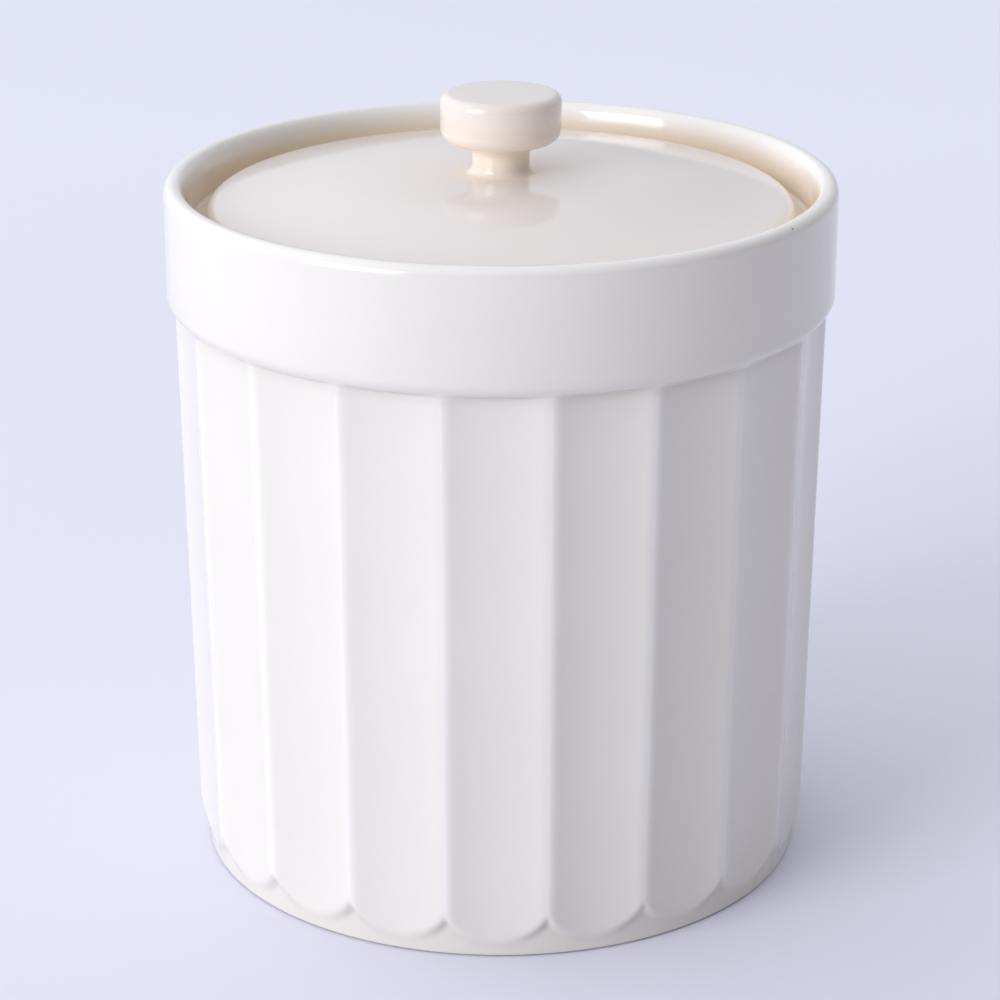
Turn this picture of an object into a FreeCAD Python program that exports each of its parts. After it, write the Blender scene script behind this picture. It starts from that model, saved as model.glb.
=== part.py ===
import FreeCAD, Part
import math
import os
import Sketcher

# Fluted ceramic keeper: a slip-cast jar with a plain collar, and a loose domed lid with a knob.
# Millimetres, +Z up, origin at the centre of the foot ring where the jar stands.

doc = FreeCAD.newDocument("Keeper")

sizes = {
    # jar, outside
    "collarRadius": 65.0,
    "rimWall": 4.4,
    "rimRound": 2.15,
    "collarBottom": 112.9,
    "collarRound": 3.0,
    "crestFoot": 61.8,
    "crestTop": 63.5,
    "crestRound": 5.0,
    "fluteDepth": 1.45,
    "fluteCount": 20,
    "crestLand": 0.05,
    "fluteRunIn": 6.0,
    "fluteGap": 0.25,
    # lower ends of the flutes, and the plain band that they end on
    "bandRadius": 60.2,
    "bandHeight": 14.0,
    "archRadius": 12.4,
    "archBottom": 3.0,
    "archHalf": 9.75,
    "archCore": 57.6,
    "footRound": 1.0,
    "footRing": 6.0,
    "footRecess": 1.8,
    # jar, inside
    "floorHeight": 7.0,
    "floorRound": 8.0,
    "cavityRadius": 56.1,
    "seatHeight": 128.2,
    "rimRise": 9.0,
    "seatRadius": 53.0,
    "seatThick": 5.0,
    "seatSlope": 5.0,
    # lid
    "lidGap": 3.6,
    "crownRise": 9.7,
    "levelRadius": 18.0,
    "slopeRadius": 38.5,
    "shoulderRise": 4.7,
    "lidThick": 4.5,
    "lidRound": 1.6,
    "spigotGap": 1.0,
    "spigotWall": 3.0,
    "spigotDepth": 4.0,
    "ceilingRadius": 18.0,
    "ceilingRise": 1.4,
    # knob
    "knobRise": 15.6,
    "knobRadius": 11.7,
    "capThick": 9.6,
    "neckRadius": 5.6,
    "knobTopRound": 1.9,
    "capUnderRound": 2.9,
    "neckTopRound": 2.3,
    "neckFootRound": 1.6,
    # how far a cutting outline reaches past the clay that it takes away
    "overcut": 1.0,
}
# heights that follow the seat, so that rim, lid and knob move with it
rimHeight = "seatHeight + rimRise"
lidCrown = "seatHeight + crownRise"
knobTop = lidCrown + " + knobRise"


def fillSheet():
    sheet = doc.addObject("Spreadsheet::Sheet", "Sizes")
    for row, name in enumerate(sizes, start=1):
        sheet.set("A%d" % row, name)
        sheet.set("B%d" % row, str(sizes[name]))
        sheet.setAlias("B%d" % row, name)
    doc.recompute()


def amount(text):
    """Work out a length written as sizes, numbers and shares of a size, joined by + and -."""
    total, sign = 0.0, 1.0
    for word in text.split():
        if word in "+-":
            sign = 1.0 if word == "+" else -1.0
            continue
        product = 1.0
        for factor in word.split("*"):
            product *= sizes[factor] if factor in sizes else float(factor)
        total += sign * product
    return total


def formula(text):
    """The same length as an expression that follows the sheet."""
    words = text.replace("*", " * ").split()
    return " ".join("Sizes." + word if word in sizes else word for word in words)


def originPart(body, role):
    return [item for item in body.Origin.OriginFeatures if item.Role == role][0]


def newBody(name):
    body = doc.addObject("PartDesign::Body", name)
    body.Label = name
    return body


def newSketch(body, name, plane, shift="0"):
    sketch = body.newObject("Sketcher::SketchObject", name)
    sketch.AttachmentSupport = [(originPart(body, plane), "")]
    sketch.MapMode = "FlatFace"
    sketch.AttachmentOffset = FreeCAD.Placement(FreeCAD.Vector(0, 0, amount(shift)), FreeCAD.Rotation())
    if shift != "0":
        sketch.setExpression(".AttachmentOffset.Base.z", formula(shift))
    return sketch


def hold(sketch, *parts):
    """Add a plain constraint."""
    sketch.addConstraint(Sketcher.Constraint(*parts))


def holdSize(sketch, text, *parts):
    """Add a constraint whose value follows the sheet."""
    number = sketch.addConstraint(Sketcher.Constraint(*parts, amount(text)))
    sketch.renameConstraint(number, "size%d" % number)
    sketch.setExpression("Constraints.size%d" % number, formula(text))


def holdAngle(sketch, first, second, angle, expression):
    """Hold the angle from one line to another, both starting at their inner ends."""
    number = sketch.addConstraint(Sketcher.Constraint("Angle", first, 1, second, 1, angle))
    sketch.renameConstraint(number, "angle%d" % number)
    sketch.setExpression("Constraints.angle%d" % number, expression)


def pinPoint(sketch, edge, end, across, up):
    """Hold one end of an edge at its distances from the sketch's origin."""
    if across == "0":
        hold(sketch, "PointOnObject", edge, end, -2)
    else:
        holdSize(sketch, across, "DistanceX", -1, 1, edge, end)
    if up == "0":
        hold(sketch, "PointOnObject", edge, end, -1)
    else:
        holdSize(sketch, up, "DistanceY", -1, 1, edge, end)


def flat(point):
    return FreeCAD.Vector(point[0], point[1], 0)


def line(sketch, start, end, isGuide=False):
    return sketch.addGeometry(Part.LineSegment(flat(start), flat(end)), isGuide)


def arc(sketch, centre, start, end):
    """An anticlockwise arc between two points round a centre."""
    first = math.atan2(start[1] - centre[1], start[0] - centre[0])
    last = math.atan2(end[1] - centre[1], end[0] - centre[0])
    if last < first:
        last += 2 * math.pi
    circle = Part.Circle(flat(centre), FreeCAD.Vector(0, 0, 1), math.dist(centre, start))
    return sketch.addGeometry(Part.ArcOfCircle(circle, first, last), False)


def headings(corners, index):
    """Which way a square corner is reached and left, each as steps of -1, 0 or 1 across and up."""
    places = [(amount(corner[0]), amount(corner[1])) for corner in corners]
    before, here, after = places[index - 1], places[index], places[(index + 1) % len(places)]

    def step(start, end):
        return [round(math.copysign(1, end[way] - start[way])) if abs(end[way] - start[way]) > 0.001 else 0
                for way in (0, 1)]

    return step(before, here), step(here, after)


def shifted(text, share, roundSize, step):
    """A length moved along by a share of a rounding, in the direction of the step."""
    return text if step == 0 else "%s %s %s*%s" % (text, "+" if step > 0 else "-", share, roundSize)


def eased(corners):
    """Give each square corner that names a rounding two flats that follow its arc."""
    sunk = "%.4f" % (1 - math.sqrt(0.5))
    points = []
    for index, corner in enumerate(corners):
        if len(corner) == 2:
            points.append(corner)
            continue
        across, up, roundSize = corner
        arriving, leaving = headings(corners, index)
        points.append((shifted(across, "1", roundSize, -arriving[0]),
                       shifted(up, "1", roundSize, -arriving[1])))
        points.append((shifted(across, sunk, roundSize, leaving[0] - arriving[0]),
                       shifted(up, sunk, roundSize, leaving[1] - arriving[1])))
        points.append((shifted(across, "1", roundSize, leaving[0]),
                       shifted(up, "1", roundSize, leaving[1])))
    return points


def drawOutline(sketch, corners):
    """Draw a closed outline of straight edges, anticlockwise, with its named roundings."""
    points = eased(corners)
    places = [(amount(point[0]), amount(point[1])) for point in points]
    for index, point in enumerate(points):
        line(sketch, places[index], places[(index + 1) % len(places)])
    for index, point in enumerate(points):
        hold(sketch, "Coincident", index, 2, (index + 1) % len(points), 1)
        pinPoint(sketch, index, 1, point[0], point[1])


def turned(body, kind, name, sketch):
    """A solid or a cut turned about the vertical axis of its sketch."""
    feature = body.newObject("PartDesign::" + kind, name)
    feature.Profile = sketch
    feature.ReferenceAxis = (sketch, ["V_Axis"])
    feature.Angle = 360.0
    doc.recompute()
    return feature


def turnedOutline(body, kind, name, corners):
    """The same, from the corners of an outline in radius and height."""
    sketch = newSketch(body, name + "Outline", "XZ_Plane")
    drawOutline(sketch, corners)
    return turned(body, kind, name, sketch)


def repeatAround(body, name, original):
    pattern = body.newObject("PartDesign::PolarPattern", name)
    pattern.Originals = [original]
    pattern.Axis = (originPart(body, "Z_Axis"), [""])
    pattern.Angle = 360.0
    pattern.Occurrences = int(sizes["fluteCount"])
    pattern.setExpression("Occurrences", "Sizes.fluteCount")
    body.Tip = pattern
    doc.recompute()
    return pattern


def scoopSketch(body):
    """The section that one flute takes away: a hollow arc between two rounded crests. Its plane
    leans by the slope of the wall, so that a straight cut follows the wall up."""
    sketch = newSketch(body, "FluteSection", "XY_Plane", "0 - overcut")
    rise = "collarBottom + fluteRunIn + overcut"
    lean = math.atan((sizes["crestTop"] - sizes["crestFoot"]) / amount(rise))
    sketch.AttachmentOffset = FreeCAD.Placement(
        sketch.AttachmentOffset.Base, FreeCAD.Rotation(FreeCAD.Vector(1, 0, 0), math.degrees(lean)))
    sketch.setExpression(".AttachmentOffset.Rotation.Angle", "atan((%s) / (%s))" % (
        formula("crestTop - crestFoot"), formula(rise)))
    step = math.pi / sizes["fluteCount"]
    crestSize, roundSize = sizes["crestFoot"], sizes["crestRound"]
    valley = crestSize - sizes["fluteDepth"]
    inner = crestSize - roundSize
    side, reach = inner * math.sin(step), inner * math.cos(step)
    drop = valley - reach
    hollow = (side ** 2 + drop ** 2 - roundSize ** 2) / (2 * (roundSize - drop))
    hollowCentre = (0.0, -valley - hollow)
    share = hollow / (hollow + roundSize)
    meet = (side * share, hollowCentre[1] + (valley + hollow - reach) * share)
    crestPoint = (crestSize * math.sin(step), -crestSize * math.cos(step))
    gap = math.radians(sizes["fluteGap"])
    along = inner * math.cos(gap) + math.sqrt(roundSize ** 2 - (inner * math.sin(gap)) ** 2)
    sideStart = (along * math.sin(step - gap), -along * math.cos(step - gap))
    far = amount("crestTop + fluteRunIn")
    sideEnd = (far * math.tan(step - gap), -far)

    def mirrored(point):
        return (-point[0], point[1])

    arc(sketch, hollowCentre, meet, mirrored(meet))                    # 0 the hollow
    arc(sketch, (side, -reach), meet, sideStart)                       # 1 right crest
    arc(sketch, (-side, -reach), mirrored(sideStart), mirrored(meet))  # 2 left crest
    line(sketch, sideStart, sideEnd)                                   # 3 right side
    line(sketch, mirrored(sideStart), mirrored(sideEnd))               # 4 left side
    line(sketch, sideEnd, mirrored(sideEnd))                           # 5 outside the blank
    line(sketch, (0, 0), crestPoint, True)                             # 6 spoke to the right crest
    line(sketch, (0, 0), mirrored(crestPoint), True)                   # 7 spoke to the left crest
    sketch.addGeometry(Part.Point(flat((0, -valley))), True)           # 8 lowest point of the hollow
    for ends in ((6, 1, -1, 1), (7, 1, -1, 1), (1, 2, 3, 1), (2, 1, 4, 1), (3, 2, 5, 1), (4, 2, 5, 2)):
        hold(sketch, "Coincident", *ends)
    hold(sketch, "Tangent", 0, 1, 1, 1)
    hold(sketch, "Tangent", 0, 2, 2, 2)
    hold(sketch, "Symmetric", 6, 2, 7, 2, -2)
    hold(sketch, "Symmetric", 3, 2, 4, 2, -2)
    hold(sketch, "Equal", 1, 2)
    for crest, spoke, edge in ((1, 6, 3), (2, 7, 4)):
        hold(sketch, "PointOnObject", crest, 3, spoke)
        hold(sketch, "PointOnObject", spoke, 2, crest)
        hold(sketch, "PointOnObject", -1, 1, edge)
    hold(sketch, "PointOnObject", 8, 1, -2)
    hold(sketch, "PointOnObject", 8, 1, 0)
    holdSize(sketch, "crestRound", "Radius", 1)
    holdSize(sketch, "crestFoot", "Distance", 6)
    holdSize(sketch, "0 - crestFoot + fluteDepth", "DistanceY", -1, 1, 8, 1)
    holdSize(sketch, "0 - crestTop - fluteRunIn", "DistanceY", -1, 1, 3, 2)
    holdAngle(sketch, 7, 6, 2 * step, "360 deg / Sizes.fluteCount")
    holdAngle(sketch, 4, 3, 2 * (step - gap), "360 deg / Sizes.fluteCount - 2 deg * Sizes.fluteGap")
    return sketch


def addFlutes(body):
    """Flutes side by side all the way round, from the foot up into the collar."""
    flute = body.newObject("PartDesign::Pocket", "Flute")
    flute.Profile = scoopSketch(body)
    flute.Type = "Length"
    flute.Length = amount("collarBottom + fluteRunIn + overcut")
    flute.setExpression("Length", formula("collarBottom + fluteRunIn + overcut"))
    flute.Reversed = True
    doc.recompute()
    return repeatAround(body, "Flutes", flute)


def addArches(body):
    """Each flute ends low down in an arch, and the wall steps back below it to the plain band."""
    sketch = newSketch(body, "ArchOutline", "XZ_Plane", "archCore")
    radius, half = sizes["archRadius"], sizes["archHalf"]
    centre = (0.0, sizes["archBottom"] + radius)
    side = centre[1] - math.sqrt(radius * radius - half * half)
    arc(sketch, centre, (-half, side), (half, side))
    low = amount("0 - overcut")
    line(sketch, (half, side), (half, low))
    line(sketch, (half, low), (-half, low))
    line(sketch, (-half, low), (-half, side))
    for index in range(3):
        hold(sketch, "Coincident", index, 2, index + 1, 1)
    hold(sketch, "Coincident", 3, 2, 0, 1)
    pinPoint(sketch, 0, 3, "0", "archBottom + archRadius")
    holdSize(sketch, "archRadius", "Radius", 0)
    pinPoint(sketch, 2, 1, "archHalf", "0 - overcut")
    pinPoint(sketch, 2, 2, "0 - archHalf", "0 - overcut")
    hold(sketch, "Vertical", 1)
    hold(sketch, "Vertical", 3)
    arch = body.newObject("PartDesign::Pocket", "Arch")
    arch.Profile = sketch
    arch.Type = "Length"
    depth = "crestTop + overcut - archCore"
    arch.Length = amount(depth)
    arch.setExpression("Length", formula(depth))
    arch.Reversed = True
    doc.recompute()
    return repeatAround(body, "Arches", arch)


def makeJar():
    jar = newBody("jar")
    turnedOutline(jar, "Revolution", "Blank", [
        ("0", "0"), ("crestFoot - crestLand", "0"),
        ("crestTop - crestLand", "collarBottom + collarRound"), ("0", "collarBottom + collarRound")])
    addFlutes(jar)
    addArches(jar)
    turnedOutline(jar, "Revolution", "Band", [
        ("0", "0"), ("bandRadius", "0", "footRound"), ("bandRadius", "bandHeight"), ("0", "bandHeight")])
    turnedOutline(jar, "Revolution", "Collar", [
        ("0", "collarBottom"), ("collarRadius", "collarBottom", "collarRound"),
        ("collarRadius", rimHeight, "rimRound"), ("collarRadius - rimWall", rimHeight, "rimRound"),
        ("collarRadius - rimWall", "seatHeight"), ("0", "seatHeight")])
    turnedOutline(jar, "Groove", "Cavity", [
        ("0", "floorHeight"), ("cavityRadius", "floorHeight", "floorRound"),
        ("cavityRadius", "seatHeight - seatThick - seatSlope"), ("seatRadius", "seatHeight - seatThick"),
        ("seatRadius", "seatHeight + overcut"), ("0", "seatHeight + overcut")])
    turnedOutline(jar, "Groove", "FootRecess", [
        ("0", "0 - overcut"), ("bandRadius - footRing", "0 - overcut"), ("bandRadius - footRing", "0"),
        ("bandRadius - footRing - footRecess", "footRecess"), ("0", "footRecess")])
    return jar


def domeSketch(body, edge):
    """The lid's disc: flat underneath, and above a level middle that bends down into an even slope."""
    sketch = newSketch(body, "DomeOutline", "XZ_Plane")
    level, slope, roundSize = sizes["levelRadius"], sizes["slopeRadius"], sizes["lidRound"]
    crown, bottom, outer = amount(lidCrown), sizes["seatHeight"], amount(edge)
    inner, shoulder = outer - roundSize, amount("seatHeight + shoulderRise")
    lean = 2 * math.atan((crown - shoulder) / (slope - level + 2 * (inner - slope)))
    bend = (slope - level) / math.sin(lean)
    sunk = 1 - math.sqrt(0.5)
    middle = (outer - sunk * roundSize, shoulder - sunk * roundSize)
    meet = (slope, crown - bend * (1 - math.cos(lean)))
    line(sketch, (0, bottom), (outer, bottom))                          # 0 the underside
    line(sketch, (outer, bottom), (outer, shoulder - roundSize))        # 1 the edge
    line(sketch, (outer, shoulder - roundSize), middle)                 # 2 lower flat of the rounding
    line(sketch, middle, (inner, shoulder))                             # 3 upper flat of the rounding
    line(sketch, (inner, shoulder), meet)                               # 4 the slope
    arc(sketch, (level, crown - bend), meet, (level, crown))            # 5 the bend
    line(sketch, (level, crown), (0, crown))                            # 6 the level middle
    line(sketch, (0, crown), (0, bottom))                               # 7 the axis
    for index in (0, 1, 2, 3, 6, 7):
        hold(sketch, "Coincident", index, 2, (index + 1) % 8, 1)
    hold(sketch, "Tangent", 4, 2, 5, 1)
    hold(sketch, "Tangent", 5, 2, 6, 1)
    hold(sketch, "Vertical", 1)
    hold(sketch, "Horizontal", 6)
    pinPoint(sketch, 0, 1, "0", "seatHeight")
    pinPoint(sketch, 1, 1, edge, "seatHeight")
    pinPoint(sketch, 7, 1, "0", lidCrown)
    pinPoint(sketch, 4, 1, edge + " - lidRound", "seatHeight + shoulderRise")
    holdSize(sketch, "levelRadius", "DistanceX", -1, 1, 6, 1)
    holdSize(sketch, "slopeRadius", "DistanceX", -1, 1, 5, 1)
    holdSize(sketch, "lidRound", "DistanceY", 2, 1, 4, 1)
    holdSize(sketch, "%.4f*lidRound" % sunk, "DistanceX", 3, 1, 2, 1)
    holdSize(sketch, "%.4f*lidRound" % sunk, "DistanceY", 3, 1, 4, 1)
    return sketch


def makeLid():
    lid = newBody("lid")
    edge = "collarRadius - rimWall - lidGap"
    spigot = "seatRadius - spigotGap"
    hollow = spigot + " - spigotWall"
    spigotFoot = "seatHeight - spigotDepth"
    ceiling = lidCrown + " - lidThick"
    knobEdge = "neckRadius + neckFootRound + overcut"
    capFoot = knobTop + " - capThick"
    turned(lid, "Revolution", "Dome", domeSketch(lid, edge))
    turnedOutline(lid, "Revolution", "Spigot", [
        ("0", spigotFoot), (spigot, spigotFoot),
        (spigot, "seatHeight + overcut"), ("0", "seatHeight + overcut")])
    turnedOutline(lid, "Groove", "UnderDome", [
        ("0", spigotFoot + " - overcut"), (hollow, spigotFoot + " - overcut"),
        (hollow, "seatHeight + ceilingRise"), ("ceilingRadius", ceiling), ("0", ceiling)])
    turnedOutline(lid, "Revolution", "Knob", [
        ("0", lidCrown + " - overcut"), (knobEdge, lidCrown + " - overcut"), (knobEdge, lidCrown),
        ("neckRadius", lidCrown, "neckFootRound"), ("neckRadius", capFoot, "neckTopRound"),
        ("knobRadius", capFoot, "capUnderRound"), ("knobRadius", knobTop, "knobTopRound"), ("0", knobTop)])
    return lid


def checkDocument(bodies):
    for item in doc.Objects:
        if "Invalid" in item.State or "Error" in item.State:
            raise RuntimeError("%s did not build" % item.Name)
    for body in bodies:
        if body.Shape.isNull() or not body.Shape.isValid():
            raise RuntimeError("%s has no valid shape" % body.Label)


fillSheet()
bodies = [makeJar(), makeLid()]
doc.recompute()
checkDocument(bodies)
os.makedirs("parts", exist_ok=True)
for body in bodies:
    body.Shape.exportStep("parts/%s.step" % body.Label)
    print("%s: volume %.0f mm3, %d solid" % (body.Label, body.Shape.Volume, len(body.Shape.Solids)))
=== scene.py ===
import math
import bpy
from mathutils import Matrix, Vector


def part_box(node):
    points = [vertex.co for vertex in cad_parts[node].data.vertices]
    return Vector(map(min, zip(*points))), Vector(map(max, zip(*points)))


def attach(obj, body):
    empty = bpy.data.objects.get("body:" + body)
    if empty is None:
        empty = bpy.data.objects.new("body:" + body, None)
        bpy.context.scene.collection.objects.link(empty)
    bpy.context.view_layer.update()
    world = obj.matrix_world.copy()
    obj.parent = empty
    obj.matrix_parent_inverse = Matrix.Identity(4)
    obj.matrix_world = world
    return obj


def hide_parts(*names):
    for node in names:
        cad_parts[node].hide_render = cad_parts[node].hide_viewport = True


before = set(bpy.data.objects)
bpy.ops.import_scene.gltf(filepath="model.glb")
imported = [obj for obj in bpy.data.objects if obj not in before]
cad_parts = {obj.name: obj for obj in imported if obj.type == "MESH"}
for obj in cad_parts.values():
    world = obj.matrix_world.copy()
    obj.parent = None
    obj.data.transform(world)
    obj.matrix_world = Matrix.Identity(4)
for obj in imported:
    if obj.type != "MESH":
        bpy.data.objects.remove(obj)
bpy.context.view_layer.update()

mm = 0.001


# every form here is turned, so a profile is a list of (radius, height) in mm
axisGap = 0.5  # radius of the small ring of points from which a mesh closes on the axis


def roundedPath(corners, stepAngle):
    # corners are (radius, height) or (radius, height, rounding); roundings become arcs
    path = []
    for index, corner in enumerate(corners):
        here = Vector(corner[:2])
        rounding = corner[2] if len(corner) > 2 else 0.0
        if rounding <= 0.0:
            path.append(tuple(here))
            continue
        before = (Vector(corners[index - 1][:2]) - here).normalized()
        after = (Vector(corners[index + 1][:2]) - here).normalized()
        half = before.angle(after) / 2
        centre = here + (before + after).normalized() * (rounding / math.sin(half))
        start = here + before * (rounding / math.tan(half)) - centre
        sweep = (here + after * (rounding / math.tan(half)) - centre).angle_signed(start)
        count = max(3, math.ceil(abs(math.degrees(sweep)) / stepAngle))
        for part in range(count + 1):
            turn = sweep * part / count
            path.append((centre.x + start.x * math.cos(turn) - start.y * math.sin(turn),
                         centre.y + start.x * math.sin(turn) + start.y * math.cos(turn)))
    return path


def quarter(corner, across, down, isOuter, count=10):
    # a quarter of an ellipse that rounds an upper corner, from the outer side inwards
    path = []
    for part in range(count + 1):
        turn = math.pi / 2 * part / count
        if not isOuter:
            turn = math.pi / 2 - turn
        side = across * (math.cos(turn) - 1)
        path.append((corner[0] + (side if isOuter else -side),
                     corner[1] + down * (math.sin(turn) - 1)))
    return path


def spread(start, end, step):
    # evenly spaced values from start up to, and without, end
    count = max(1, math.ceil(abs(end - start) / step))
    return [start + (end - start) * part / count for part in range(count)]


def ease(value):
    value = min(1.0, max(0.0, value))
    return value * value * value * (value * (6 * value - 15) + 10)


def softMax(first, second, width):
    # the larger of two radii, with the crease between them filled as glaze fills it
    gap = max(width - abs(first - second), 0.0) / width
    return max(first, second) + gap * gap * width / 4


def turnedMesh(name, rows, columns, glazeAt):
    # rows: one function of the turn per row, giving (radius, height); both ends close on the axis
    # glazeAt: how thick the glaze lies, from 0 (ran thin) to 1 (pooled), with painted shade and
    # painted light added in, and how much warm painted shade it gets
    points, faces, depthsAndShade, warmShadeShares = [], [], [], []
    turns = [2 * math.pi * column / columns for column in range(columns)]
    for row in rows:
        for turn in turns:
            radius, height = row(turn)
            points.append((
                radius * mm * math.sin(turn), -radius * mm * math.cos(turn), height * mm))
            depthAndShade, warmShadeShare = glazeAt(turn, radius, height)
            depthsAndShade.append(depthAndShade)
            warmShadeShares.append(warmShadeShare)
    for row in range(len(rows) - 1):
        low, high = row * columns, (row + 1) * columns
        for column in range(columns):
            after = (column + 1) % columns
            faces.append((low + column, low + after, high + after, high + column))
    for row, isFirst in ((0, True), (len(rows) - 1, False)):
        points.append((0.0, 0.0, rows[row](0.0)[1] * mm))
        depthsAndShade.append(depthsAndShade[row * columns])
        warmShadeShares.append(warmShadeShares[row * columns])
        middle = len(points) - 1
        for column in range(columns):
            here, after = row * columns + column, row * columns + (column + 1) % columns
            faces.append((after, here, middle) if isFirst else (here, after, middle))
    mesh = bpy.data.meshes.new(name)
    mesh.from_pydata(points, [], faces)
    mesh.polygons.foreach_set("use_smooth", [True] * len(mesh.polygons))
    mesh.attributes.new("glazeDepthAndShade", "FLOAT", "POINT").data.foreach_set("value", depthsAndShade)
    mesh.attributes.new("paintedWarmShade", "FLOAT", "POINT").data.foreach_set("value", warmShadeShares)
    mesh.update()
    piece = bpy.data.objects.new(name, mesh)
    bpy.context.scene.collection.objects.link(piece)
    return piece


def sameAllRound(point):
    return lambda turn: point


jarForm = {
    "collarRadius": -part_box("jar")[0].x / mm,
    "rimHeight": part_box("jar")[1].z / mm,
    "rimWall": 4.4,
    "rimOuter": (1.9, 2.0),   # how far the outer edge of the rim is rounded, across and down
    "rimInner": (2.0, 4.2),   # the inner edge is softer, where the glaze ran in
    "rimUnder": 0.5,          # the inner wall starts this far under that rounding
    "collarBottom": 112.9,
    "collarRound": 3.0,
    "collarGlaze": 1.0,       # glaze that fills the crease under the collar
    "collarFade": 4,          # how fast the collar gives way to the wall under its rounding
    "crestFoot": 61.8,
    "crestTop": 63.5,
    "crestRound": 5.0,
    "fluteDepth": 1.45,
    "fluteCount": 20,
    "bandRadius": 60.2,
    "archRadius": 12.4,
    "archBottom": 3.0,
    "archStep": 3.0,          # width of the soft step down to the band
    "archReach": 0.97,        # the arch stops rising at this share of its radius
    "archTop": 12.0,          # above this the arches no longer show
    "footRound": 0.3,
    "footLift": 0.3,          # the glazed edge of the foot stays this far off the table
    "footStep": 0.9,          # and stands out this far over the ring that touches it
    "footStepRound": 0.1,
    "footRing": 6.0,
    "footRingRound": 0.3,
    "footRecess": 1.8,
    "footRecessRound": 1.0,
    "floorHeight": 7.0,
    "floorRound": 8.0,
    "cavityRadius": 56.1,
    "seatHeight": 128.2,
    "seatRadius": 53.0,
    "seatThick": 5.0,
    "seatSlope": 5.0,
    "seatCornerRound": 1.2,
    "seatRound": 0.9,
    "seatUnderRound": 3.0,
    "columnsPerFlute": 32,
    "rowSteps": {"arch": 0.4, "flute": 7.0, "crease": 0.3, "collar": 4.0},
    "firstRow": 0.35,         # above the rounding of the foot
    "crease": (2, 0.3),       # the fine rows start under the collar and end over its rounding
    "footStepAngle": 18.0,
    "insideStepAngle": 15.0,
    "bareInner": 0.6,         # bare clay starts this far inside the foot ring
    "bareOuter": 0.7,         # and ends this far inside the band
    "bareHeights": (-1.0, 0.25),
    "glaze": {                # how thick the glaze lies, 0 thin to 1 pooled, with painted shade on the floor inside, low on the collar, in the crease under it, on the band and under the arches, painted light behind the lid, and where each fades
        "inside": 0.5, "floorShade": 0.4, "floorShadeReach": 3,
        "rimThin": 0.35, "rimReach": 0.9,
        # painted light on the wall behind the lid, and how far down its painted warm shade fades in
        "behindLidLight": 0.15, "behindLidShadeFade": 6.3,
        "collar": 0.5, "collarShade": 0.1, "collarShadeReach": 3,
        "flute": 0.55, "crestThin": 0.4, "crestSharp": 10, "crestStart": 8,
        "band": 0.35,
        "creaseShade": 0.4, "creaseShadeDrop": 0.6, "creaseShadeReach": 1.2,
        "archShade": 0.2, "archShadeDrop": 0.8, "archShadeReach": 0.9,
    },
}


def fluteSection(form):
    # radius of one flute at the foot, by the turn from its middle:
    # a hollow arc between two rounded crests
    step = math.pi / form["fluteCount"]
    crest, rounding = form["crestFoot"], form["crestRound"]
    valley, inner = crest - form["fluteDepth"], crest - rounding
    side, drop = inner * math.sin(step), valley - inner * math.cos(step)
    hollow = (side ** 2 + drop ** 2 - rounding ** 2) / (2 * (rounding - drop))
    share = hollow / (hollow + rounding)
    centre = valley + hollow
    meet = math.atan2(side * share, centre + (inner * math.cos(step) - centre) * share)

    def radius(turn):
        off = abs(turn)
        if off < meet:
            return centre * math.cos(off) - math.sqrt(hollow ** 2 - (centre * math.sin(off)) ** 2)
        away = step - off
        return inner * math.cos(away) + math.sqrt(rounding ** 2 - (inner * math.sin(away)) ** 2)

    return radius


def wallRadius(form):
    # radius of the outside wall by turn and height
    section = fluteSection(form)
    step = 2 * math.pi / form["fluteCount"]
    lean = (form["crestTop"] - form["crestFoot"]) / form["collarBottom"]
    archRadius, archMiddle = form["archRadius"], form["archBottom"] + form["archRadius"]
    collarMiddle = form["collarBottom"] + form["collarRound"]
    collarInner = form["collarRadius"] - form["collarRound"]

    def radius(turn, height):
        off = (turn + step / 2) % step - step / 2
        wall = section(off) + lean * height
        if height < form["archTop"]:
            across = min(abs(math.sin(off)) * wall / archRadius, form["archReach"])
            curve = math.sqrt(1 - across * across)
            above = (height - archMiddle + archRadius * curve) * curve
            share = ease(above / form["archStep"] + 0.5)
            wall = form["bandRadius"] + (wall - form["bandRadius"]) * share
        if height >= collarMiddle:
            return form["collarRadius"]
        below = collarMiddle - height
        if below < form["collarRound"]:
            collar = collarInner + math.sqrt(form["collarRound"] ** 2 - below ** 2)
        else:
            collar = collarInner - (below - form["collarRound"]) * form["collarFade"]
        return softMax(wall, collar, form["collarGlaze"])

    return radius


def near(value, middle, reach):
    # 1 at the middle, falling softly to 0 a little past the reach
    return math.exp(-((value - middle) / reach) ** 2)


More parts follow.
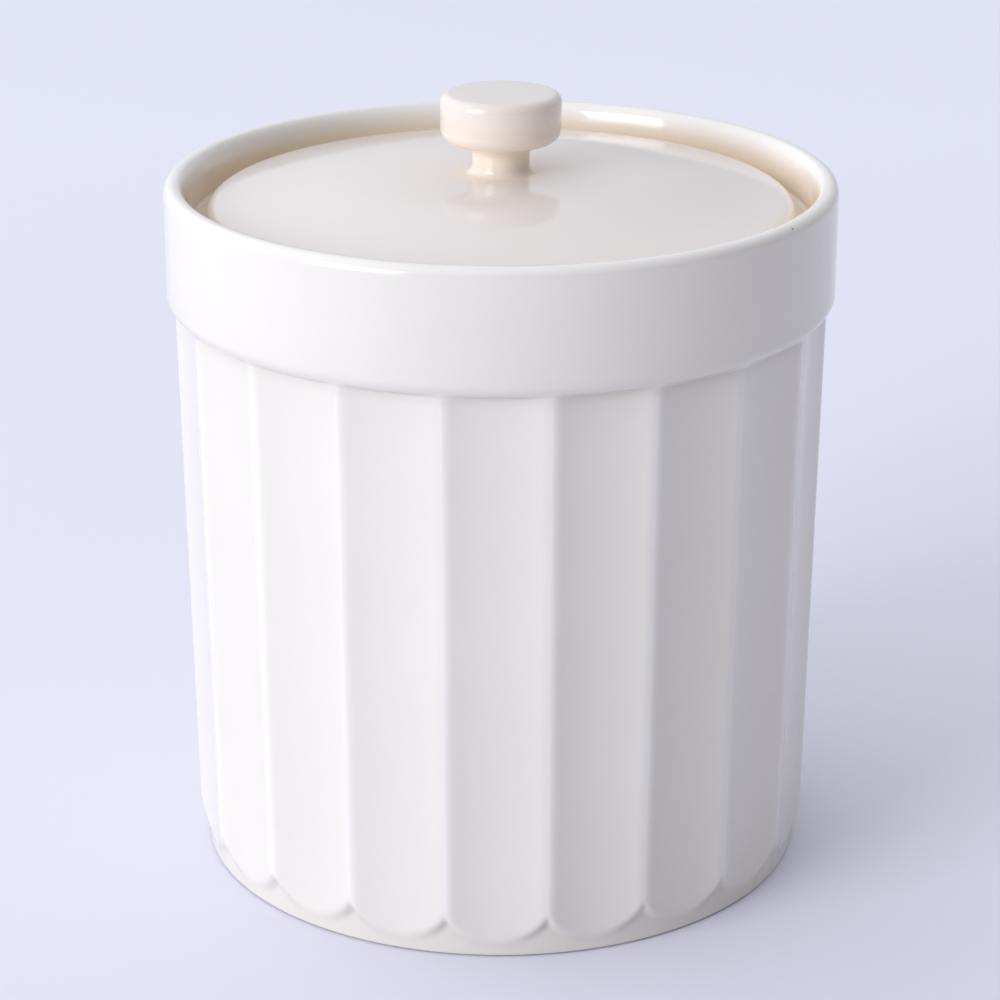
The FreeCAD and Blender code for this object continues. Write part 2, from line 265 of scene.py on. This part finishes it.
def jarGlaze(form):
    step = 2 * math.pi / form["fluteCount"]
    rimMiddle = form["collarRadius"] - form["rimWall"] / 2
    collarMiddle = form["collarBottom"] + form["collarRound"]
    coat = form["glaze"]

    def glaze(turn, radius, height):
        if radius < form["bandRadius"] - 1:  # floor, cavity and foot
            # painted shade: darker towards the floor inside
            return coat["inside"] + coat["floorShade"] * near(
                height, form["floorHeight"], coat["floorShadeReach"]), 0.0
        rim = near(height, form["rimHeight"], coat["rimReach"])
        if height > form["seatHeight"] - 1 and radius < rimMiddle:
            # painted light and painted shade: the wall behind the lid is painted paler near the rim
            # and warmer down towards the seat, for the light and the warm shade it gets from what
            # it faces
            return coat["behindLidLight"], ease((form["rimHeight"] - height) / coat["behindLidShadeFade"])
        if height > form["collarBottom"] + 1:
            # painted shade: darker low on the collar, over its lower rounding
            return coat["collar"] - coat["rimThin"] * rim + coat["collarShade"] * near(
                height, collarMiddle, coat["collarShadeReach"]), 0.0
        off = abs((turn + step / 2) % step - step / 2) / (step / 2)
        across = min(off * math.sin(step / 2) * radius / form["archRadius"], form["archReach"])
        foot = form["archBottom"] + form["archRadius"] * (1 - math.sqrt(1 - across * across))
        crest = coat["crestThin"] * off ** coat["crestSharp"] * ease(
            (height - form["archBottom"]) / coat["crestStart"])
        # painted shade: the band under the arches is darker, where the floor shades it
        band = coat["band"] * ease((foot - height) / form["archStep"] + 0.5)
        # painted shade: darker in the crease under the collar and just under the step of each arch
        paintedShade = coat["creaseShade"] * near(
            height, form["collarBottom"] - coat["creaseShadeDrop"], coat["creaseShadeReach"])
        paintedShade += coat["archShade"] * near(height, foot - coat["archShadeDrop"], coat["archShadeReach"])
        return coat["flute"] - crest + band + paintedShade, 0.0

    return glaze


def makeJar(form):
    ring = form["bandRadius"] - form["footRing"]
    outer = form["bandRadius"] - form["footStep"]
    upTheWall = (form["bandRadius"], 2.0)  # only turns the last rounding upwards, and is left out
    under = roundedPath([
        (axisGap, form["footRecess"]),
        (ring - form["footRecess"], form["footRecess"], form["footRecessRound"]),
        (ring, 0.0, form["footRingRound"]),
        (outer, 0.0, form["footStepRound"]),
        (outer, form["footLift"], form["footStepRound"]),
        (form["bandRadius"], form["footLift"], form["footRound"]),
        upTheWall], form["footStepAngle"])[:-1]
    steps = form["rowSteps"]
    creaseFoot = form["collarBottom"] - form["crease"][0]
    creaseTop = form["collarBottom"] + form["collarRound"] + form["crease"][1]
    rimFoot = form["rimHeight"] - form["rimOuter"][1]
    heights = spread(form["footLift"] + form["footRound"] + form["firstRow"],
                     form["archTop"], steps["arch"])
    heights += spread(form["archTop"], creaseFoot, steps["flute"])
    heights += spread(creaseFoot, creaseTop, steps["crease"])
    heights += spread(creaseTop, rimFoot, steps["collar"])
    inner = form["collarRadius"] - form["rimWall"]
    bottom = form["seatHeight"] - form["seatThick"]
    rim = quarter((form["collarRadius"], form["rimHeight"]), *form["rimOuter"], True)
    rim += quarter((inner, form["rimHeight"]), *form["rimInner"], False)[1:]
    inside = roundedPath([
        (inner, form["rimHeight"] - form["rimInner"][1] - form["rimUnder"]),
        (inner, form["seatHeight"], form["seatCornerRound"]),
        (form["seatRadius"], form["seatHeight"], form["seatRound"]),
        (form["seatRadius"], bottom, form["seatRound"]),
        (form["cavityRadius"], bottom - form["seatSlope"], form["seatUnderRound"]),
        (form["cavityRadius"], form["floorHeight"], form["floorRound"]),
        (axisGap, form["floorHeight"])], form["insideStepAngle"])
    wall = wallRadius(form)
    rows = [sameAllRound(point) for point in under]
    rows += [lambda turn, height=height: (wall(turn, height), height) for height in heights]
    rows += [sameAllRound(point) for point in rim + inside]
    columns = form["fluteCount"] * form["columnsPerFlute"]
    piece = turnedMesh("keeper_jar", rows, columns, jarGlaze(form))
    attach(piece, "jar")
    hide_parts("jar")
    print("jar:", len(piece.data.vertices), "points")
    return piece


lidForm = {
    "edgeRadius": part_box("lid")[1].x / mm,
    "knobTop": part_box("lid")[1].z / mm,
    "crown": 137.9,
    "edgeDrop": 5.05,         # from the level middle down to the edge
    "levelRadius": 16.0,      # the top bends down from here
    "slopeRadius": 40.5,      # and slopes evenly from here
    "thick": 4.5,
    "edgeRound": 2.8,
    "underRound": 0.8,
    "spigotRadius": 52.0,
    "spigotWall": 3.0,
    "spigotDepth": 4.0,
    "spigotEndRound": 0.8,
    "spigotRootRound": 0.4,
    "ceilingRadius": 18.0,
    "ceilingRise": 1.4,
    "ceilingRound": 30.0,
    "ceilingEdgeRound": 2.0,
    "knobRadius": 11.7,
    "capThick": 9.6,
    "neckRadius": 5.55,
    "knobTopRound": 1.8,
    "capUnderRound": 2.9,
    "neckTopRound": 2.6,
    "neckFootRound": 1.5,
    "knobSag": 0.1,           # how far the top of the knob falls towards its edge
    "sagBend": (0.6, 0.3, 20.0),  # where it bends, by radius and fall, and its rounding
    "columns": 288,
    "topRows": (3.5, 2.5, 2.0),   # away from the edge, away from the neck, and their step
    "stepAngle": 7.0,
    "bareInner": 0.3,         # bare clay starts this far inside the outside of the spigot
    "bareOuter": 0.8,         # and ends this far inside the edge
    "bareFrom": 127.0,
    "bareOver": 0.3,          # it ends this far over the seat
    "glaze": {                # how thick the glaze lies, how much warm painted shade it gets under the cap, round the neck and at the edge, and how far each fades
        "knobFrom": 0.3,      # the knob starts this far over the crown
        "knob": 0.9, "knobTopThin": 0.5, "knobTopReach": 0.5,
        "knobShade": 0.9, "knobShadeDrop": 1, "knobShadeReach": 3.0,
        "top": 0.5, "neckShade": 0.5, "neckShadeAway": 1, "neckShadeReach": 2.5,
        "edgeShade": 0.7, "edgeShadeReach": 1.6,
    },
}


def makeLid(form, seatHeight):
    bend = form["slopeRadius"] - form["levelRadius"]
    slope = form["edgeDrop"] / (bend / 2 + form["edgeRadius"] - form["slopeRadius"])

    def dome(radius):
        share = min(1.0, max(0.0, (radius - form["levelRadius"]) / bend))
        past = max(0.0, radius - form["slopeRadius"])
        return form["crown"] - slope * (bend * (share ** 3 - share ** 4 / 2) + past)

    hollow = form["spigotRadius"] - form["spigotWall"]
    foot = seatHeight - form["spigotDepth"]
    capFoot = form["knobTop"] - form["capThick"]
    neck, knob = form["neckRadius"], form["knobRadius"]
    ceiling = form["crown"] - form["thick"]
    fromEdge, fromNeck, topStep = form["topRows"]
    sagRadius, sagFall, sagRound = form["sagBend"]
    top = [(radius, dome(radius))
           for radius in spread(form["edgeRadius"] - fromEdge, neck + fromNeck, topStep)]
    path = roundedPath([
        (axisGap, ceiling),
        (form["ceilingRadius"], ceiling, form["ceilingRound"]),
        (hollow, seatHeight + form["ceilingRise"], form["ceilingEdgeRound"]),
        (hollow, foot, form["spigotEndRound"]),
        (form["spigotRadius"], foot, form["spigotEndRound"]),
        (form["spigotRadius"], seatHeight, form["spigotRootRound"]),
        (form["edgeRadius"], seatHeight, form["underRound"]),
        (form["edgeRadius"], dome(form["edgeRadius"]), form["edgeRound"])] + top + [
        (neck, dome(neck), form["neckFootRound"]),
        (neck, capFoot, form["neckTopRound"]),
        (knob, capFoot, form["capUnderRound"]),
        (knob, form["knobTop"] - form["knobSag"], form["knobTopRound"]),
        (knob * sagRadius, form["knobTop"] - form["knobSag"] * sagFall, sagRound),
        (axisGap, form["knobTop"])], form["stepAngle"])
    coat = form["glaze"]

    def glaze(turn, radius, height):
        if height > form["crown"] + coat["knobFrom"]:
            thin = coat["knobTopThin"] * near(height, form["knobTop"], coat["knobTopReach"])
            # painted warm shade under the cap of the knob
            warmShade = coat["knobShade"] * near(
                height, capFoot - coat["knobShadeDrop"], coat["knobShadeReach"])
            return coat["knob"] - thin, warmShade
        # painted warm shade round the foot of the neck and at the edge, where the lid meets the
        # jar's wall
        paintedShade = coat["neckShade"] * near(radius, neck + coat["neckShadeAway"], coat["neckShadeReach"])
        warmShade = coat["edgeShade"] * near(radius, form["edgeRadius"], coat["edgeShadeReach"])
        return coat["top"] + paintedShade, warmShade

    rows = [sameAllRound(point) for point in path]
    piece = turnedMesh("keeper_lid", rows, form["columns"], glaze)
    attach(piece, "lid")
    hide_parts("lid")
    print("lid:", len(piece.data.vertices), "points")
    return piece


def newGroup(name, inputs, outputs):
    group = bpy.data.node_groups.new(name, "ShaderNodeTree")
    for socketName, kind, value in inputs:
        socket = group.interface.new_socket(socketName, in_out="INPUT", socket_type=kind)
        socket.default_value = value
    for socketName, kind in outputs:
        group.interface.new_socket(socketName, in_out="OUTPUT", socket_type=kind)
    start = group.nodes.new("NodeGroupInput")
    end = group.nodes.new("NodeGroupOutput")
    return group, start, end


def addNode(tree, kind, values=None, **settings):
    node = tree.nodes.new(kind)
    for setting, value in settings.items():
        setattr(node, setting, value)
    for socketName, value in (values or {}).items():
        node.inputs[socketName].default_value = value
    return node


def maths(tree, operation, first, second=None, clamp=False):
    node = addNode(tree, "ShaderNodeMath", operation=operation, use_clamp=clamp)
    for slot, value in enumerate((first, second)):
        if isinstance(value, bpy.types.NodeSocket):
            tree.links.new(value, node.inputs[slot])
        elif value is not None:
            node.inputs[slot].default_value = value
    return node.outputs[0]


def mixColour(tree, factor, first, second):
    node = addNode(tree, "ShaderNodeMix", data_type="RGBA")
    for slot, value in ((0, factor), (6, first), (7, second)):
        if isinstance(value, bpy.types.NodeSocket):
            tree.links.new(value, node.inputs[slot])
        else:
            node.inputs[slot].default_value = value
    return node.outputs[2]


def noiseOf(tree, place, scale, detail=2.0, rough=0.5):
    values = {"Scale": scale, "Detail": detail, "Roughness": rough}
    node = addNode(tree, "ShaderNodeTexNoise", values)
    tree.links.new(place, node.inputs["Vector"])
    return node.outputs["Fac"]


def firstChannel(tree, colour):
    node = addNode(tree, "ShaderNodeSeparateColor")
    tree.links.new(colour, node.inputs[0])
    return node.outputs[0]


glazeGrain = {
    "driftScale": 35.0, "driftDetail": 4.0,  # slow changes in how thick the glaze lies
    "speckScale": 160.0, "speckRare": 0.985, "speckSize": 0.06, "speckPit": -0.25,
    "cloudScale": 60.0, "cloudGloss": 0.04,  # faint clouds in the gloss
    "waveScale": 28.0, "waveDetail": 1.0, "waveHeight": 0.7,  # the skin is never quite flat
    "fineScale": 420.0, "fineHeight": 0.04,
}


def glazeGroup(grain):
    # fired glaze: paler where it ran thin on edges, deeper where it lies thick, with painted shade
    # and painted light carried in the depth, painted warm shade laid over it, and faint iron specks
    group, start, end = newGroup("firedGlaze", [
        ("Thin", "NodeSocketColor", (0.8, 0.8, 0.8, 1)),
        ("Glaze", "NodeSocketColor", (0.8, 0.8, 0.8, 1)),
        ("Pooled And Shade", "NodeSocketColor", (0.8, 0.8, 0.8, 1)),
        ("Warm Shade", "NodeSocketColor", (0.8, 0.7, 0.6, 1)),
        ("Speck", "NodeSocketColor", (0.3, 0.2, 0.1, 1)),
        ("Depth", "NodeSocketFloat", 0.5),
        ("Warm Shade Share", "NodeSocketFloat", 0.0),
        ("Drift", "NodeSocketFloat", 0.3),
        ("Speck Share", "NodeSocketFloat", 0.5),
        ("Gloss", "NodeSocketFloat", 0.1)],
        [("Color", "NodeSocketColor"),
         ("Roughness", "NodeSocketFloat"),
         ("Height", "NodeSocketFloat")])
    place = addNode(group, "ShaderNodeTexCoord").outputs["Object"]
    drift = noiseOf(group, place, grain["driftScale"], grain["driftDetail"])
    wander = maths(group, "SUBTRACT", drift, 0.5)
    wander = maths(group, "MULTIPLY", wander, start.outputs["Drift"])
    double = maths(group, "MULTIPLY", maths(group, "ADD", start.outputs["Depth"], wander), 2.0)
    thin = maths(group, "SUBTRACT", 1.0, double, clamp=True)
    deepAndShade = maths(group, "SUBTRACT", double, 1.0, clamp=True)
    tone = mixColour(group, thin, start.outputs["Glaze"], start.outputs["Thin"])
    # deeper glaze, which also carries painted shade
    tone = mixColour(group, deepAndShade, tone, start.outputs["Pooled And Shade"])
    # painted warm shade, laid over the glaze by its share
    tone = mixColour(group, start.outputs["Warm Shade Share"], tone, start.outputs["Warm Shade"])
    cells = addNode(group, "ShaderNodeTexVoronoi", {"Scale": grain["speckScale"]})
    group.links.new(place, cells.inputs["Vector"])
    chance = firstChannel(group, cells.outputs["Color"])
    rare = maths(group, "GREATER_THAN", chance, grain["speckRare"])
    dot = maths(group, "LESS_THAN", cells.outputs["Distance"], grain["speckSize"])
    speck = maths(group, "MULTIPLY", rare, dot)
    speck = maths(group, "MULTIPLY", speck, start.outputs["Speck Share"])
    group.links.new(mixColour(group, speck, tone, start.outputs["Speck"]), end.inputs["Color"])
    cloud = noiseOf(group, place, grain["cloudScale"])
    cloud = maths(group, "MULTIPLY", cloud, grain["cloudGloss"])
    group.links.new(maths(group, "ADD", start.outputs["Gloss"], cloud), end.inputs["Roughness"])
    wave = noiseOf(group, place, grain["waveScale"], grain["waveDetail"])
    wave = maths(group, "MULTIPLY", wave, grain["waveHeight"])
    fine = noiseOf(group, place, grain["fineScale"])
    fine = maths(group, "MULTIPLY", fine, grain["fineHeight"])
    pit = maths(group, "MULTIPLY", speck, grain["speckPit"])
    skin = maths(group, "ADD", maths(group, "ADD", wave, fine), pit)
    group.links.new(skin, end.inputs["Height"])
    return group


clayGrain = {
    "edgeScale": 90.0, "edgeWander": 0.0006,  # the edge of the glaze wanders, in metres
    "grainScale": 1500.0, "grainDetail": 4.0, "grainRough": 0.7, "grainHeight": 0.12,
    "pore": (0.25, 0.19, 0.13, 1), "poreShare": 0.75,
}


def clayGroup(grain):
    # bare fired clay where the piece stood in the kiln, between two radii and two heights
    group, start, end = newGroup("bareClay", [
        ("Clay", "NodeSocketColor", (0.7, 0.6, 0.5, 1)),
        ("From Radius", "NodeSocketFloat", 0.0),
        ("To Radius", "NodeSocketFloat", 1.0),
        ("From Height", "NodeSocketFloat", 0.0),
        ("To Height", "NodeSocketFloat", 1.0)],
        [("Color", "NodeSocketColor"),
         ("Mask", "NodeSocketFloat"),
         ("Height", "NodeSocketFloat")])
    place = addNode(group, "ShaderNodeTexCoord").outputs["Object"]
    axes = addNode(group, "ShaderNodeSeparateXYZ")
    group.links.new(place, axes.inputs[0])
    wander = maths(group, "SUBTRACT", noiseOf(group, place, grain["edgeScale"]), 0.5)
    wander = maths(group, "MULTIPLY", wander, grain["edgeWander"])
    square = maths(group, "ADD", maths(group, "MULTIPLY", axes.outputs[0], axes.outputs[0]),
                   maths(group, "MULTIPLY", axes.outputs[1], axes.outputs[1]))
    radius = maths(group, "ADD", maths(group, "SQRT", square), wander)
    height = maths(group, "ADD", axes.outputs[2], wander)
    mask = maths(group, "GREATER_THAN", radius, start.outputs["From Radius"])
    for side, measure, limit in (("LESS_THAN", radius, "To Radius"),
                                 ("GREATER_THAN", height, "From Height"),
                                 ("LESS_THAN", height, "To Height")):
        mask = maths(group, "MULTIPLY", mask, maths(group, side, measure, start.outputs[limit]))
    pores = noiseOf(group, place, grain["grainScale"], grain["grainDetail"], grain["grainRough"])
    darker = mixColour(group, grain["poreShare"], grain["pore"], start.outputs["Clay"])
    group.links.new(mixColour(group, pores, darker, start.outputs["Clay"]), end.inputs["Color"])
    group.links.new(mask, end.inputs["Mask"])
    group.links.new(maths(group, "MULTIPLY", pores, grain["grainHeight"]), end.inputs["Height"])
    return group


def pinholeGroup():
    # one small pinhole in the glaze, round a place given in metres
    group, start, end = newGroup("glazePinhole", [
        ("Place", "NodeSocketVector", (0, 0, 0)), ("Radius", "NodeSocketFloat", 0.0003)],
        [("Mask", "NodeSocketFloat")])
    away = addNode(group, "ShaderNodeVectorMath", operation="DISTANCE")
    group.links.new(addNode(group, "ShaderNodeTexCoord").outputs["Object"], away.inputs[0])
    group.links.new(start.outputs["Place"], away.inputs[1])
    share = maths(group, "DIVIDE", away.outputs["Value"], start.outputs["Radius"])
    nearness = maths(group, "SUBTRACT", 1.0, share)
    edge = maths(group, "MULTIPLY", nearness, 3.0, clamp=True)  # the outer third is soft
    group.links.new(edge, end.inputs["Mask"])
    return group


glazeLook = {
    "thin": (0.88, 0.86, 0.83, 1),
    "glaze": (0.78, 0.75, 0.694, 1),
    # deeper glaze, also the colour of painted shade in creases and hollows
    "pooledAndShade": (0.715, 0.685, 0.62, 1),
    # painted warm shade, for the warm shade on the wall behind the lid
    "warmShade": (0.83, 0.71, 0.565, 1),
    "speck": (0.33, 0.24, 0.16, 1),
    "drift": 0.35,
    "specks": 0.5,
    "gloss": 0.07,
    "ior": 1.52,
    "clay": (0.70, 0.63, 0.54, 1),
    "clayRough": 0.75,
    "bump": 0.35,
    "bumpDepth": 0.0006,
}


jarLook = {
    **glazeLook,
    "pinhole": {"turn": 56.25, "radius": 64.4, "height": 136.6, "size": 0.3},
}


lidLook = {
    **glazeLook,
    "thin": (0.82, 0.76, 0.715, 1),
    "glaze": (0.795, 0.735, 0.695, 1),
    # the knob's deeper glaze, also painted warm shade round the foot of the neck
    "pooledAndShade": (0.845, 0.745, 0.65, 1),
    # painted warm shade under the knob's cap, round its neck and at the lid's edge
    "warmShade": (0.97, 0.86, 0.70, 1),
}


def makeCeramic(name, look, groups, bare):
    # bare: radii and heights, in mm, between which the clay was left without glaze
    material = bpy.data.materials.new(name)
    material.use_nodes = True
    tree = material.node_tree
    shader = tree.nodes["Principled BSDF"]
    glaze = addNode(tree, "ShaderNodeGroup", node_tree=groups["glaze"])
    for socket, key in (("Thin", "thin"), ("Glaze", "glaze"), ("Pooled And Shade", "pooledAndShade"),
                        ("Warm Shade", "warmShade"), ("Speck", "speck"), ("Drift", "drift"),
                        ("Speck Share", "specks"), ("Gloss", "gloss")):
        glaze.inputs[socket].default_value = look[key]
    for socket, attribute in (("Depth", "glazeDepthAndShade"), ("Warm Shade Share", "paintedWarmShade")):
        measure = addNode(tree, "ShaderNodeAttribute",
                          attribute_name=attribute, attribute_type="GEOMETRY")
        tree.links.new(measure.outputs["Fac"], glaze.inputs[socket])
    clay = addNode(tree, "ShaderNodeGroup", node_tree=groups["clay"])
    clay.inputs["Clay"].default_value = look["clay"]
    for socket, value in zip(("From Radius", "To Radius", "From Height", "To Height"), bare):
        clay.inputs[socket].default_value = value * mm
    mask = clay.outputs["Mask"]
    colour = mixColour(tree, mask, glaze.outputs["Color"], clay.outputs["Color"])
    if "pinhole" in look:
        hole = look["pinhole"]
        turn = math.radians(hole["turn"])
        place = (hole["radius"] * math.sin(turn), -hole["radius"] * math.cos(turn), hole["height"])
        pinhole = addNode(tree, "ShaderNodeGroup", node_tree=groups["pinhole"])
        pinhole.inputs["Place"].default_value = Vector(place) * mm
        pinhole.inputs["Radius"].default_value = hole["size"] * mm
        colour = mixColour(tree, pinhole.outputs["Mask"], colour, look["speck"])
    tree.links.new(colour, shader.inputs["Base Color"])
    rough = addNode(tree, "ShaderNodeMix", {"B": look["clayRough"]}, data_type="FLOAT")
    tree.links.new(mask, rough.inputs[0])
    tree.links.new(glaze.outputs["Roughness"], rough.inputs[2])
    tree.links.new(rough.outputs[0], shader.inputs["Roughness"])
    height = addNode(tree, "ShaderNodeMix", data_type="FLOAT")
    tree.links.new(mask, height.inputs[0])
    tree.links.new(glaze.outputs["Height"], height.inputs[2])
    tree.links.new(clay.outputs["Height"], height.inputs[3])
    bump = addNode(tree, "ShaderNodeBump",
                   {"Strength": look["bump"], "Distance": look["bumpDepth"]})
    tree.links.new(height.outputs[0], bump.inputs["Height"])
    tree.links.new(bump.outputs["Normal"], shader.inputs["Normal"])
    shader.inputs["IOR"].default_value = look["ior"]
    return material


studio = {
    # floor colour near the camera and far off; the difference between them is painted light
    "floorNear": (0.79, 0.78, 0.888, 1),
    "floorFar": (0.875, 0.885, 0.985, 1),
    "floorLightFade": (-0.1, 0.6),   # painted light: the floor goes from darker near the camera to lighter far off, as the light falls on it; where this starts and ends, in metres behind the jar
    "floorSize": 12.0,
    "floorRough": 0.9,
    "floorSpecular": 0.1,
    "light": (0.985, 1.0, 1.06),
    "roomLevel": 0.05,
    "roomGlow": [               # walls and ceiling that send light back
        {"from": (0, 1, 0), "level": 0.58},
        {"from": (0, 0, 1), "level": 0.67},
        {"from": (-1, 0, 0), "level": 0.73},
    ],
    "lamp": {"name": "windowLamp", "turn": -48.5, "rise": 18, "away": 2.4,
             "wide": 1.32, "tall": 1.35, "power": 33},
    "lampAim": 0.075,           # height of the point that the lamp faces
    "lens": 112.07,
    "sensor": 36.0,
    "clip": (0.01, 50.0),
    "away": 0.5843,             # camera to the axis of the jar, level
    "height": 0.2887,
    "turn": 0.8,                # camera round the jar from the front, degrees
    "down": 20.496,             # degrees below level
    "pan": 0.02,                # degrees turned to the left of the axis of the jar
}


def makeFloor(values):
    half = values["floorSize"] / 2
    mesh = bpy.data.meshes.new("floor")
    corners = [(-half, -half, 0), (half, -half, 0), (half, half, 0), (-half, half, 0)]
    mesh.from_pydata(corners, [], [(0, 1, 2, 3)])
    floor = bpy.data.objects.new("floor", mesh)
    bpy.context.scene.collection.objects.link(floor)
    material = bpy.data.materials.new("paleFloor")
    material.use_nodes = True
    tree = material.node_tree
    shader = tree.nodes["Principled BSDF"]
    axes = addNode(tree, "ShaderNodeSeparateXYZ")
    tree.links.new(addNode(tree, "ShaderNodeTexCoord").outputs["Object"], axes.inputs[0])
    fadeStart, fadeEnd = values["floorLightFade"]
    # painted light: the floor is darker near the camera and lighter far off
    lightFade = addNode(tree, "ShaderNodeMapRange", {"From Min": fadeStart, "From Max": fadeEnd})
    tree.links.new(axes.outputs["Y"], lightFade.inputs["Value"])
    tree.links.new(mixColour(tree, lightFade.outputs["Result"], values["floorNear"], values["floorFar"]),
                   shader.inputs["Base Color"])
    shader.inputs["Roughness"].default_value = values["floorRough"]
    shader.inputs["Specular IOR Level"].default_value = values["floorSpecular"]
    mesh.materials.append(material)


def aroundAxis(turn, rise, away):
    # a place seen from the middle of the jar: turn 0 is the front and 90 the right
    turn, rise = math.radians(turn), math.radians(rise)
    level = math.cos(rise)
    return Vector((math.sin(turn) * level, -math.cos(turn) * level, math.sin(rise))) * away


def makeLight(values):
    world = bpy.data.worlds.new("studio")
    bpy.context.scene.world = world
    world.use_nodes = True
    tree = world.node_tree
    background = tree.nodes["Background"]
    background.inputs["Color"].default_value = (*values["light"], 1)
    towards = addNode(tree, "ShaderNodeTexCoord").outputs["Generated"]
    total = values["roomLevel"]
    for glow in values["roomGlow"]:
        facing = addNode(tree, "ShaderNodeVectorMath", operation="DOT_PRODUCT")
        facing.inputs[1].default_value = glow["from"]
        tree.links.new(towards, facing.inputs[0])
        lit = maths(tree, "MAXIMUM", facing.outputs["Value"], 0.0)
        total = maths(tree, "ADD", maths(tree, "MULTIPLY", lit, glow["level"]), total)
    tree.links.new(total, background.inputs["Strength"])
    lamp, aim = values["lamp"], Vector((0, 0, values["lampAim"]))
    light = bpy.data.lights.new(lamp["name"], "AREA")
    light.shape = "RECTANGLE"
    light.size, light.size_y = lamp["wide"], lamp["tall"]
    light.energy = lamp["power"]
    light.color = values["light"]
    holder = bpy.data.objects.new(lamp["name"], light)
    holder.location = aim + aroundAxis(lamp["turn"], lamp["rise"], lamp["away"])
    holder.rotation_euler = (holder.location - aim).to_track_quat("Z", "Y").to_euler()
    holder.visible_camera = False
    bpy.context.scene.collection.objects.link(holder)


def makeCamera(values):
    camera = bpy.data.cameras.new("camera")
    camera.lens, camera.sensor_width = values["lens"], values["sensor"]
    camera.clip_start, camera.clip_end = values["clip"]
    holder = bpy.data.objects.new("camera", camera)
    turn = math.radians(values["turn"])
    holder.location = (
        math.sin(turn) * values["away"], -math.cos(turn) * values["away"], values["height"])
    tilt, pan = math.radians(90 - values["down"]), math.radians(values["pan"])
    holder.rotation_euler = (tilt, 0, turn + pan)
    bpy.context.scene.collection.objects.link(holder)
    bpy.context.scene.camera = holder


def build():
    jar = makeJar(jarForm)
    lid = makeLid(lidForm, jarForm["seatHeight"])
    groups = {"glaze": glazeGroup(glazeGrain), "clay": clayGroup(clayGrain),
              "pinhole": pinholeGroup()}
    ring = jarForm["bandRadius"] - jarForm["footRing"]
    jarBare = (ring - jarForm["bareInner"], jarForm["bandRadius"] - jarForm["bareOuter"],
               *jarForm["bareHeights"])
    lidBare = (lidForm["spigotRadius"] - lidForm["bareInner"],
               lidForm["edgeRadius"] - lidForm["bareOuter"],
               lidForm["bareFrom"], jarForm["seatHeight"] + lidForm["bareOver"])
    jar.data.materials.append(makeCeramic("jarGlaze", jarLook, groups, jarBare))
    lid.data.materials.append(makeCeramic("lidGlaze", lidLook, groups, lidBare))
    print("finishes: done")
    makeFloor(studio)
    makeLight(studio)
    makeCamera(studio)
    bpy.context.scene.view_settings.view_transform = "Standard"
    print("studio: done")


build()
